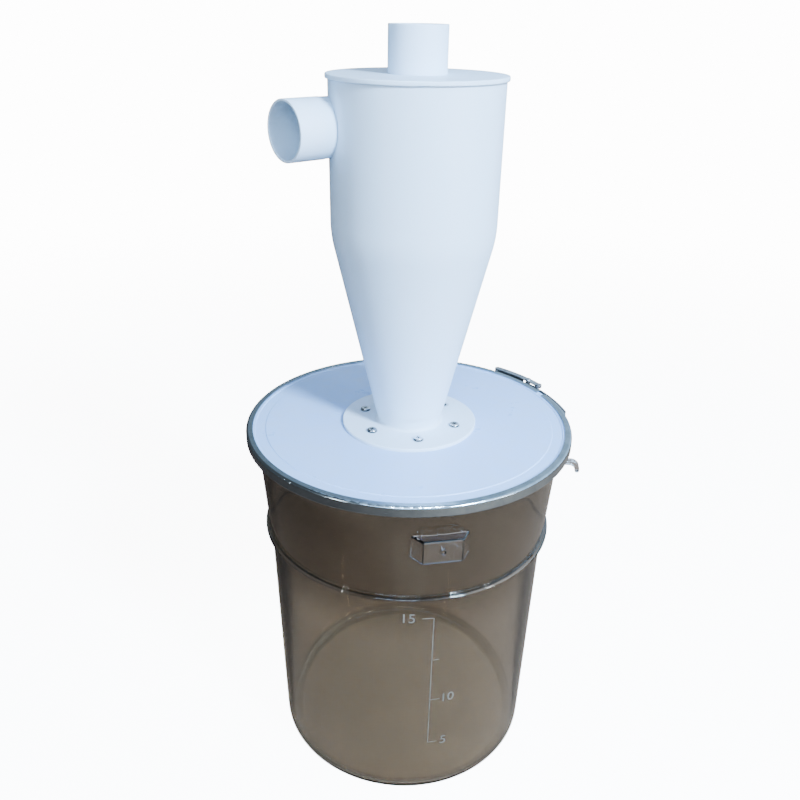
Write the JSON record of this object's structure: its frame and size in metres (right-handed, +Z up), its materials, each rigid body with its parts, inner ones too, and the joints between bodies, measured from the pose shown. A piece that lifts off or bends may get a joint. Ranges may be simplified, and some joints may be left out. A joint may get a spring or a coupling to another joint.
{
  "type": "portable cyclone dust separator on a clear drum",
  "caption": "Plastic cyclone separator screwed to the lid of a clear smoked drum, with a steel clamp ring and lever latch, for catching workshop dust before a vacuum.",
  "frame": {"origin": "middle of the drum's flat base, on the floor, on the cyclone's middle line", "axes": "+Z up along the cyclone's middle line, -Y towards the front, where the handle ear is, +X to the right of someone facing it"},
  "size_m": [0.3312, 0.3206, 0.7241],
  "materials": {
    "white_plastic": "satin moulded polypropylene",
    "lid_plastic": "milky polypropylene sheet, satin",
    "smoked_plastic": "clear smoked polycarbonate, polished",
    "ring_steel": "bright zinc plated",
    "latch_steel": "zinc plated, satin",
    "screw_steel": "nickel plated",
    "seal_rubber": "matte"
  },
  "bodies": {
    "drum": {"drum_base": "smoked_plastic", "drum_lower_wall": "smoked_plastic", "drum_bead": "smoked_plastic", "drum_upper_wall": "smoked_plastic", "drum_rim": "smoked_plastic", "front_ear": "smoked_plastic", "back_ear": "smoked_plastic", "side_hook": "smoked_plastic", "lid_gasket": "seal_rubber", "lid_plate": "lid_plastic", "clamp_ring": "ring_steel", "ring_rivets": "latch_steel", "catch_bracket": "latch_steel", "fulcrum_bracket": "latch_steel", "fulcrum_pins": "latch_steel", "mounting_flange": "white_plastic", "cyclone_cone": "white_plastic", "cyclone_barrel": "white_plastic", "inlet_tube": "white_plastic", "cyclone_cap": "white_plastic", "outlet_tube": "white_plastic", "flange_screw_1": "screw_steel", "flange_screw_2": "screw_steel", "flange_screw_3": "screw_steel", "flange_screw_4": "screw_steel", "flange_screw_5": "screw_steel", "flange_nuts": "screw_steel"},
    "lever": {"latch_lever": "latch_steel", "link_pin": "latch_steel"},
    "link": {"latch_link": "latch_steel"}
  },
  "joints": [
    {"name": "lever_hinge", "type": "hinge", "parent": "drum", "child": "lever", "pos_m": [0.14049, 0.08749, 0.3601], "axis": [0, 0, -1], "range_deg": [0, 110]},
    {"name": "link_hinge", "type": "hinge", "parent": "lever", "child": "link", "pos_m": [0.13047, 0.10182, 0.3601], "axis": [0, 0, -1], "range_deg": [-110, 0]}
  ],
  "couplings": [
    {"joint": "link_hinge", "follows": "lever_hinge", "ratio": -1}
  ]
}
